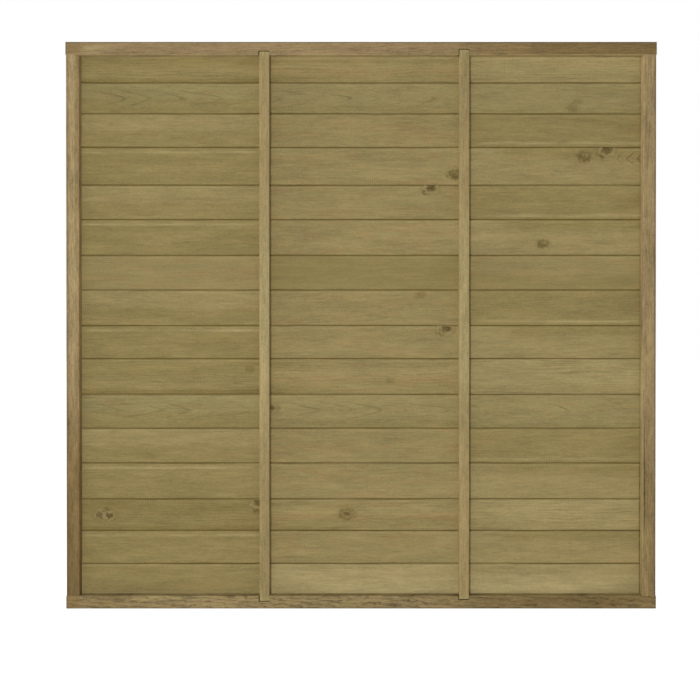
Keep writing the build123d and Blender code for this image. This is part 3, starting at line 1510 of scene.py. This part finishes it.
@dataclass
class BoardWall:
    """The sixteen boards, counted from the top, with the marks that tell them apart.

    Attributes:
        count: How many there are.
        slot: The slot for their finish, which is passed to each board and not used there.
        joint: Between which depths of the panel the joints' insides are dark, in millimetres.
        knots: The knots of each board.
        arches: The nested arches of each board.
    """

    count: int = LOWEST_BOARD
    slot: str = "boards"
    joint: Point = (7.5, 16.3)
    knots: Mapping[int, tuple[Knot, ...]] = field(
        default_factory=lambda: {
            2: (Knot(661.0, 1559.0, 9.0, 0.42), Knot(680.0, 1582.0, 8.0, 0.2)),
            4: (
                Knot(698.0, 1407.0, 11.5, 0.95),
                Knot(768.0, 1430.0, 13.0, 1.0, (-0.8, -1.1), KnotKind.DEAD),
                Knot(293.0, 1352.0, 11.5),
            ),
            5: (Knot(220.0, 1310.0, 11.5, 1.0, (-1.0, -0.8), KnotKind.DEAD),),
            6: (Knot(568.0, 1135.0, 9.5, 0.9),),
            8: (Knot(185.0, 976.0, 8.0, 0.35),),
            9: (Knot(265.0, 870.0, 11.5, 1.0, (-0.9, -0.9), KnotKind.DEAD),),
            10: (Knot(-347.0, 741.0, 7.0, 0.3), Knot(91.0, 707.0, 7.0, 0.3)),
            11: (Knot(-279.0, 620.0, 8.0, 0.9, (1.4, 0.0), KnotKind.DEAD),),
            14: (
                Knot(-813.0, 286.0, 11.0, 0.9, (0.9, 0.8), KnotKind.DEAD),
                Knot(-788.0, 283.0, 9.5, 1.0, (-0.4, 0.5), KnotKind.DEAD),
                Knot(-322.0, 322.0, 11.0, 1.0, (-0.3, -1.2), KnotKind.DEAD),
                Knot(-46.0, 289.0, 12.0, 0.95, (1.0, 0.5), KnotKind.RESINOUS),
            ),
        }
    )
    arches: Mapping[int, tuple[Arches, ...]] = field(
        default_factory=lambda: {
            2: (
                Arches(-745.0, 1588.0, 100.0, 11, 32.0, 0.42, -5.0, 16.0, 26.0),
                Arches(402.0, 1583.0, 100.0, 1, 26.0, 0.5, -3.0, 12.0, 8.0),
            ),
            4: (Arches(802.0, 1400.0, strength=0.7, lean=1.2, tip_radius=5.0),),
            11: (
                Arches(-738.0, 614.0, 100.0, 11, 32.0, 0.42, -5.0, 16.0, 26.0),
                Arches(396.0, 609.0, 254.0, 2, 28.0, 0.5, -2.9, 12.0, 8.0),
            ),
        }
    )

    def build(self) -> None:
        """Builds every board."""
        for number in range(1, self.count + 1):
            node = f"board_{number:02d}"
            low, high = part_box(node)
            top = high.z - Board.tongue_length
            Board(node, self.finish(number, low.z / MM, top / MM), self.slot).build()

    def finish(self, number: int, low: float, high: float) -> TreatedSoftwood:
        """Chooses the wood of a board.

        Args:
            number: The board, counted from the top.
            low: Its lower edge in millimetres.
            high: Its upper edge in millimetres.

        Returns:
            The board's finish.
        """
        return TreatedSoftwood(
            f"treated_spruce_planed_board_{number:02d}",
            Grain.LEVEL,
            Tone.MOSS if number in ARCHED_LOG else Tone.TAN,
            float(number),
            self.figure(number, (low + high) / 2),
            self.knots.get(number, ()),
            tuple(self.patches(number, low, high)),
            self.arches.get(number, ()),
            contrast=PLAIN_CONTRAST if number == PLAIN_BOARD else 1.0,
            joint=self.joint,
        )

    def figure(self, number: int, middle: float) -> Figure:
        """Lays the rings of a board as near straight lines, some way out from the pith.

        Args:
            number: The board, counted from the top.
            middle: Its middle in millimetres.

        Returns:
            How its rings lie.
        """
        draw = random.Random(number)
        aside = draw.choice((-1.0, 1.0)) * draw.uniform(*PITH_ASIDE)
        pith = (middle + aside, draw.uniform(*PITH_DEPTH))
        taper = draw.uniform(-MOST_TAPER, MOST_TAPER)
        if number in RED_LOG:
            return Figure(pith, taper, spacing=8.0, strength=0.2, steady=0.35)
        return Figure(pith, taper)

    def patches(self, number: int, low: float, high: float) -> Iterable[Patch]:
        """Lists the stretches of another tone on a board, lowest layer first.

        Args:
            number: The board, counted from the top.
            low: Its lower edge in millimetres.
            high: Its upper edge in millimetres.

        Yields:
            The patches.
        """
        for band in BANDS:
            if number in band.boards:
                top, base = (high + (low - high) * share for share in band.across)
                top = top if band.across[0] else high + BAND_FADE
                base = base if band.across[1] < 1.0 else low - BAND_FADE
                yield Patch(
                    band.tone,
                    band.bay.value,
                    (base, top),
                    (band.fade, BAND_FADE),
                    band.weight,
                    band.broken,
                    BACK_REACH,
                    BAND_BEYOND,
                )
        yield from self.streaks(number, low, high)
        # The edges: painted shade in the corner beside the right stile, a darker lower edge that is partly
        # the dark joint and partly painted shade, a painted highlight below the upper edge, and a dark
        # joint line along the upper edge
        dark = LOW_CORNER_SHADE if number > LOWEST_BOARDS else HIGH_CORNER_SHADE
        whole = (low - 10.0, high + 10.0)
        yield Patch(Tone.STAIN_AND_SHADE, RIGHT_BOARD_END, whole, (1.4, 1.0), dark, 0.15, BACK_REACH)
        yield Patch(Tone.STAIN_AND_SHADE, BOARD_LENGTH, (low - 2.0, low + 3.5), (1.0, 3.0), 0.62, 0.4)
        yield Patch(Tone.CREAM, BOARD_LENGTH, (high - 9.0, high - 4.0), (1.0, 2.5), 0.3, 0.5)
        yield Patch(Tone.STAIN_AND_SHADE, BOARD_LENGTH, (high - 2.5, high + 2.0), (1.0, 2.5), 0.55, 0.4)

    def streaks(self, number: int, low: float, high: float) -> Iterable[Patch]:
        """Lists the narrow streaks and stains that single boards or the boards of one log have, and the
        painted highlights and painted light on the highest and lowest boards.

        Args:
            number: The board, counted from the top.
            low: Its lower edge in millimetres.
            high: Its upper edge in millimetres.

        Yields:
            The patches.
        """
        if number in KNOTTY_LOG:
            # A pale line of sapwood below the upper edge
            yield Patch(Tone.CREAM, (-870.0, -320.0), (high - 18.0, high - 11.0), (40.0, 3.0), 0.85, 0.4)
        if number == HIGHEST_BOARD:
            # A painted highlight below the upper edge, beside the top rail's underside
            yield Patch(Tone.CREAM, (-280.0, 900.0), (high - 16.0, high - 6.0), (40.0, 3.0), 0.7, 0.4)
        if number in SAPPY_LOG:
            # A shaded streak on the left, sapwood above the lower edge and a brown end on the right
            yield Patch(Tone.SHADE, (-760.0, -470.0), (high - 92.0, high - 44.0), (60.0, 12.0), 0.4, 0.8)
            yield Patch(Tone.CREAM, (360.0, 890.0), (low + 10.0, low + 18.0), (40.0, 3.5), 0.8, 0.45)
            yield Patch(Tone.BROWN, (800.0, 900.0), (high - 70.0, high - 30.0), (40.0, 14.0), 0.5, 0.4)
        if number == DARK_BOARD:
            yield Patch(Tone.SHADE, (-900.0, -750.0), (292.0, 350.0), (50.0, 16.0), 0.6, 0.4)
        if number == self.count:
            # A painted highlight on the left end and a shaded streak on the left, and painted light on the
            # foot beside the bottom rail that grows to the right
            yield Patch(Tone.CREAM, LEFT_BOARD_END, (low + 4.0, high), (1.4, 6.0), 0.7, 0.2, BACK_REACH)
            yield Patch(Tone.SHADE, (-870.0, -590.0), (high - 30.0, high - 8.0), (50.0, 8.0), 0.5, 0.4)
            yield Patch(Tone.CREAM, BOARD_LENGTH, (low - 20.0, low + 22.0), (1.0, 14.0), 0.45, 0.1)
            yield Patch(Tone.PAINTED_LIGHT, (-120.0, 660.0), (low - 20.0, low + 40.0), (120.0, 16.0), 0.75, 0.15)
            yield Patch(Tone.TAN, (800.0, 940.0), (low - 10.0, high + 10.0), (50.0, 4.0), 0.6, 0.2)


# How deep the grey, darker arrises of the frame reach in millimetres, and the share of them on the outer
# edges
ARRIS_REACH = -17.0
ARRIS_BEYOND = 0.3
# Stretches of the frame in millimetres that cover a whole face, length or end, with room to spare
TOP_RAIL_FACE = (1700.0, 1770.0)
BOTTOM_RAIL_FACE = (-20.0, 60.0)
LEFT_STILE_FACE = (-930.0, -850.0)
RIGHT_STILE_FACE = (850.0, 930.0)
RAIL_LENGTH = (-960.0, 960.0)
RAIL_ENDS = ((-960.0, -912.0), (912.0, 960.0))
STILE_LENGTH = (-100.0, 1900.0)
# How far the pale ends of a batten reach and how far aside its pith lies, in millimetres
BATTEN_END = 12.0
BATTEN_PITH = 50.0
# Where the right stile has split in drying, in metres along it
RIGHT_STILE_SHAKE = (256.0 * MM, 566.0 * MM)


def grey_edge(
    along: Point, across: Point, soft: Point, weight: float = 0.75, broken: float = 0.15
) -> Patch:
    """Makes the grey of a darker arris or end, of which the outer edges have less."""
    return Patch(Tone.DUSK, along, across, soft, weight, broken, ARRIS_REACH, ARRIS_BEYOND)


@dataclass
class Framework:
    """The rebated frame and the two battens across the back.

    Attributes:
        frame_slot: The slot for the frame's finish, which is passed to each piece and not used there.
        batten_slot: The slot for the battens' finish, which is passed to each batten and not used there.
    """

    frame_slot: str = "frame"
    batten_slot: str = "battens"

    def build(self) -> None:
        """Builds the four sides and both battens."""
        for node, side, finish, shake in (
            ("top_rail", Side.TOP, self.top_rail(), None),
            ("bottom_rail", Side.BOTTOM, self.bottom_rail(), None),
            ("left_stile", Side.LEFT, self.left_stile(), None),
            ("right_stile", Side.RIGHT, self.right_stile(), RIGHT_STILE_SHAKE),
        ):
            FrameMember(node, finish, self.frame_slot, side=side, shake=shake).build()
        for seed, node in ((41.0, "left_batten"), (42.0, "right_batten")):
            Batten(node, self.batten(node, seed), self.batten_slot).build()

    def top_rail(self) -> TreatedSoftwood:
        """A pinkish rail that darkens to the right, with a brown left end."""
        return TreatedSoftwood(
            "treated_pine_sawn_top_rail",
            Grain.LEVEL,
            Tone.ROSE,
            31.0,
            Figure((1800.0, 10.0), 0.05, 9.0, 0.28, 0.35, 3.0),
            patches=(
                Patch(Tone.BROWN, (330.0, 1200.0), TOP_RAIL_FACE, (180.0, 1.0), 0.9, 0.2),
                Patch(Tone.BARK, (560.0, 1200.0), TOP_RAIL_FACE, (260.0, 1.0), 0.65, 0.15),
                Patch(Tone.BROWN, (-960.0, -868.0), TOP_RAIL_FACE, (36.0, 1.0), 0.75, 0.4),
                Patch(Tone.CREAM, (-864.0, -756.0), (1714.0, 1744.0), (20.0, 8.0), 0.6, 0.9),
                # Painted light on the rail's underside, so that it is nearly as bright as its face
                Patch(Tone.CREAM, RAIL_LENGTH, (1690.0, 1717.6), (1.0, 0.8), 0.7, 0.1),
                grey_edge(RAIL_LENGTH, (1753.4, 1770.0), (1.0, 1.6)),
                *(grey_edge(end, TOP_RAIL_FACE, (1.6, 1.0)) for end in RAIL_ENDS),
            ),
            speckle=0.1,
            planed=SAWN,
            contrast=1.4,
            cast=0.4,
        )

    def bottom_rail(self) -> TreatedSoftwood:
        """A greyish rail with clear rings, brown at the left end and dark to the right."""
        return TreatedSoftwood(
            "treated_pine_sawn_bottom_rail",
            Grain.LEVEL,
            Tone.GREY,
            32.0,
            Figure((-40.0, 10.0), 0.08, 14.0, 0.62, 0.6, 4.5),
            patches=(
                Patch(Tone.BARK, (330.0, 1200.0), BOTTOM_RAIL_FACE, (200.0, 1.0), 0.85, 0.15),
                Patch(Tone.BROWN, (-960.0, -874.0), BOTTOM_RAIL_FACE, (4.0, 1.0), 0.8, 0.1),
                Patch(Tone.UMBER, (-874.0, -700.0), BOTTOM_RAIL_FACE, (60.0, 1.0), 0.5, 0.6),
                # Painted light on the rail's top face, stronger towards the right end
                Patch(Tone.TAN, RAIL_LENGTH, (38.4, 60.0), (1.0, 0.8), 0.35, 0.1),
                Patch(Tone.TAN, (330.0, 960.0), (38.4, 60.0), (100.0, 0.8), 0.6, 0.1),
                Patch(Tone.PALE, (-700.0, -450.0), (26.0, 60.0), (60.0, 6.0), 0.55, 0.4),
                grey_edge(RAIL_LENGTH, (-20.0, 3.2), (1.0, 1.6)),
                *(grey_edge(end, BOTTOM_RAIL_FACE, (1.6, 1.0)) for end in RAIL_ENDS),
            ),
            speckle=0.14,
            planed=SAWN,
            contrast=2.2,
            cast=0.4,
        )

    def left_stile(self) -> TreatedSoftwood:
        """A pale stile that browns towards its foot."""
        return TreatedSoftwood(
            "treated_pine_sawn_left_stile",
            Grain.UPRIGHT,
            Tone.STILE,
            33.0,
            Figure((-960.0, 10.0), 0.012, 6.0, 0.16, 0.3),
            patches=(
                Patch(Tone.BROWN, STILE_LENGTH, (-886.0, -868.0), (1.0, 4.0), 0.6, 0.3),
                Patch(Tone.BROWN, (-200.0, 600.0), LEFT_STILE_FACE, (200.0, 1.0), 1.0, 0.1),
                Patch(Tone.UMBER, (-200.0, 200.0), LEFT_STILE_FACE, (90.0, 1.0), 0.95, 0.1),
                grey_edge(STILE_LENGTH, (-950.0, -906.0), (1.0, 4.0), 0.5, 0.2),
            ),
            speckle=0.06,
            planed=SAWN,
            contrast=1.9,
            cast=0.5,
        )

    def right_stile(self) -> TreatedSoftwood:
        """A pinkish stile, a little browner towards its foot."""
        return TreatedSoftwood(
            "treated_pine_sawn_right_stile",
            Grain.UPRIGHT,
            Tone.ROSE,
            34.0,
            Figure((960.0, 10.0), 0.012, 6.0, 0.16, 0.3),
            patches=(
                Patch(Tone.BROWN, (-200.0, 480.0), RIGHT_STILE_FACE, (160.0, 1.0), 0.65, 0.2),
                Patch(Tone.STILE, (1000.0, 1900.0), RIGHT_STILE_FACE, (200.0, 1.0), 0.55, 0.2),
                Patch(Tone.OLIVE, STILE_LENGTH, (880.0, 890.0), (1.0, 3.0), 0.7, 0.4),
                # Painted highlight on the inner side face and its arris, which face the light from the left
                Patch(Tone.PALE, (-100.0, 820.0), (850.0, 874.4), (120.0, 0.9), 0.8, 0.2),
                Patch(Tone.STAIN_AND_SHADE, (236.0, 600.0), (876.4, 879.6), (40.0, 1.2), 0.8, 0.2),
                grey_edge(STILE_LENGTH, (908.0, 950.0), (1.0, 2.4), 0.65, 0.15),
            ),
            speckle=0.06,
            planed=SAWN,
            contrast=1.9,
            cast=0.4,
        )

    def batten(self, node: str, seed: float) -> TreatedSoftwood:
        """A pale speckled batten with a pinkish left side, partly a painted highlight, and paler ends.

        Args:
            node: The batten's node.
            seed: Moves its patterns.

        Returns:
            The batten's finish.
        """
        low, high = (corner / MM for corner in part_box(node))
        across = (low.x, high.x)
        return TreatedSoftwood(
            f"treated_pine_sawn_{node}",
            Grain.UPRIGHT,
            Tone.BATTEN,
            seed,
            Figure((low.x - BATTEN_PITH, 10.0), 0.01, strength=0.1),
            patches=(
                Patch(Tone.CREAM, (620.0, 1180.0), across, (300.0, 0.1), 0.85, 0.1),
                # A pale strip along the left side: partly paler wood and partly a painted highlight on the
                # side that faces the light from the left
                Patch(Tone.CREAM, STILE_LENGTH, (low.x - 9.0, low.x + 9.0), (1.0, 3.0), 0.2, 0.3),
                *(
                    Patch(Tone.PALE, (end - BATTEN_END, end + BATTEN_END), across, (6.0, 0.1), 0.8, 0.1)
                    for end in (low.z, high.z)
                ),
            ),
            speckle=0.12,
            planed=SAWN,
            contrast=1.3,
            cast=0.6,
        )


@dataclass
class Nails:
    """The nails in the corners and the brads in the boards, which keep the solids' own shapes.

    Attributes:
        nodes: Their nodes.
    """

    nodes: tuple[str, ...] = ("frame_nails", "board_brads")

    def dress(self, shown: Mapping[str, bpy.types.Object]) -> None:
        """Gives every nail its zinc.

        Args:
            shown: The frame's objects by node.
        """
        zinc = GalvanisedSteel().material()
        for node in self.nodes:
            materials = shown[node].data.materials
            materials.clear()
            materials.append(zinc)
            LOG.info("%s: dressed", node)


@dataclass(frozen=True)
class Sun:
    """A far soft lamp.

    Attributes:
        name: What it does.
        strength: Its light on a face that is turned to it.
        turn: Where it stands, in degrees to the left of straight behind the panel.
        height: How high it stands, in degrees.
        softness: How large it is, in degrees.
    """

    name: str
    strength: float
    turn: float
    height: float = 0.0
    softness: float = 20.0

    def hang(self) -> None:
        """Hangs it in the scene."""
        lamp = bpy.data.lights.new(self.name, "SUN")
        lamp.energy = self.strength
        lamp.angle = math.radians(self.softness)
        turn, height = math.radians(self.turn), math.radians(self.height)
        level = math.cos(height)
        shine = Vector((math.sin(turn) * level, math.cos(turn) * level, -math.sin(height)))
        hung = bpy.data.objects.new(lamp.name, lamp)
        hung.rotation_euler = shine.to_track_quat("-Z", "Y").to_euler()
        bpy.context.scene.collection.objects.link(hung)


# Width of the photo in pixels
PICTURE_WIDTH = 700.0


@dataclass
class Studio:
    """A pale floor, soft light from the left and a camera square to the panel's back.

    Attributes:
        floor_size: Side of the floor in metres.
        floor_white: How much of the light the floor sends back.
        floor_glow: Light of its own that brings the floor to white for the camera.
        floor_bounce: Light of its own that the floor gives the panel, as a lit studio floor does.
        sky: Strength of the light from all round.
        key: Strength of the lamp on the back, which doesn't fall off, so that the panel is lit evenly.
        key_place: Where that lamp stands, in metres.
        key_radius: Its radius in metres.
        suns: Far lamps that light the front and graze the back from its sides.
        distance: From the camera to the frame's back face, in metres.
        lens: Focal length in millimetres on a sensor of the default width.
        tip: How far the camera looks down, in degrees.
        shift: How far the picture is moved, as shares of its width.
    """

    floor_size: float = 40.0
    floor_white: float = 0.8
    floor_glow: float = 0.8
    floor_bounce: float = 0.4
    sky: float = 0.2
    key: float = 18.4
    key_place: Point3 = (-0.85, -3.93, 0.8)
    key_radius: float = 0.25
    suns: tuple[Sun, ...] = (
        Sun("front_sun", 1.9, 168.0, softness=8.0),
        Sun("left_sun", 1.6, 83.0, softness=14.0),
        Sun("right_sun", 0.4, -83.0, softness=14.0),
        Sun("upper_sun", 0.35, 0.0, 80.0, 14.0),
    )
    distance: float = 3.0
    lens: float = 49.8
    tip: float = 0.32
    shift: Point = (-11.1 / PICTURE_WIDTH, -18.9 / PICTURE_WIDTH)

    def build(self) -> None:
        """Builds the floor, the light and the camera."""
        self.floor()
        self.world()
        self.key_lamp()
        for sun in self.suns:
            sun.hang()
        self.camera()
        bpy.context.scene.view_settings.view_transform = "Standard"

    def seen(self, graph: Graph) -> bpy.types.Node:
        """Adds a mask that is 1 for the camera and for what gloss and glass show.

        Args:
            graph: The tree to add to.

        Returns:
            A node whose value is 0 for all other light.
        """
        path = graph.add("LightPath")
        mask = graph.math("MAXIMUM", path.outputs["Is Camera Ray"], path.outputs["Is Glossy Ray"])
        return graph.math("MAXIMUM", mask, path.outputs["Is Transmission Ray"])

    def floor(self) -> None:
        """Lays the floor, which shows as white but keeps the panel's shadow."""
        shape = bmesh.new()
        bmesh.ops.create_grid(shape, size=self.floor_size / 2)
        floor = mesh_object("floor", shape)
        material = bpy.data.materials.new("matt_paper_sweep")
        material.use_nodes = True
        graph = Graph(material.node_tree)
        paper = graph.add("BsdfDiffuse", {"Color": (self.floor_white,) * 3 + (1.0,)})
        strength = graph.add(
            "MapRange", {"Value": self.seen(graph), "To Min": self.floor_bounce, "To Max": self.floor_glow}
        )
        glow = graph.add("Emission", {"Color": (1.0,) * 4, "Strength": strength})
        graph.add("OutputMaterial", {"Surface": graph.add("AddShader", {0: paper, 1: glow})})
        floor.data.materials.append(material)
        floor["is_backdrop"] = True
        LOG.info("%s: laid", floor.name)

    def world(self) -> None:
        """Lights the panel evenly from all round, with plain white behind it."""
        world = bpy.data.worlds.new("white_studio")
        world.use_nodes = True
        graph = Graph(world.node_tree)
        strength = graph.math("MULTIPLY_ADD", self.seen(graph), 1.0 - self.sky, self.sky)
        light = graph.add("Background", {"Color": (1.0,) * 4, "Strength": strength})
        graph.add("OutputWorld", {"Surface": light})
        bpy.context.scene.world = world

    def key_lamp(self) -> None:
        """Stands the soft lamp that lights the back from the left."""
        lamp = bpy.data.lights.new("key_lamp", "POINT")
        lamp.energy = self.key
        lamp.shadow_soft_size = self.key_radius
        lamp.use_nodes = True
        graph = Graph(lamp.node_tree)
        falloff = graph.add("LightFalloff", {"Strength": 1.0})
        light = graph.add("Emission", {"Color": (1.0,) * 4, "Strength": falloff.outputs["Constant"]})
        graph.add("OutputLight", {"Surface": light})
        stood = bpy.data.objects.new(lamp.name, lamp)
        stood.location = self.key_place
        bpy.context.scene.collection.objects.link(stood)

    def camera(self) -> None:
        """Sets up the camera behind the panel."""
        low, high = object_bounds()
        lens = bpy.data.cameras.new("camera")
        lens.lens = self.lens
        lens.shift_x, lens.shift_y = self.shift
        held = bpy.data.objects.new("camera", lens)
        held.location = (0.0, low.y - self.distance, (low.z + high.z) / 2)
        held.rotation_euler = (math.radians(90.0 - self.tip), 0.0, 0.0)
        bpy.context.scene.collection.objects.link(held)
        bpy.context.scene.camera = held


def main() -> None:
    """Builds the panel's pieces and the studio round them."""
    logging.basicConfig(level=logging.INFO, format="%(name)s: %(message)s")
    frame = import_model()
    BoardWall().build()
    Framework().build()
    Nails().dress(frame["nodes"])
    Studio().build()
    bpy.context.view_layer.update()


if __name__ == "__main__":
    main()
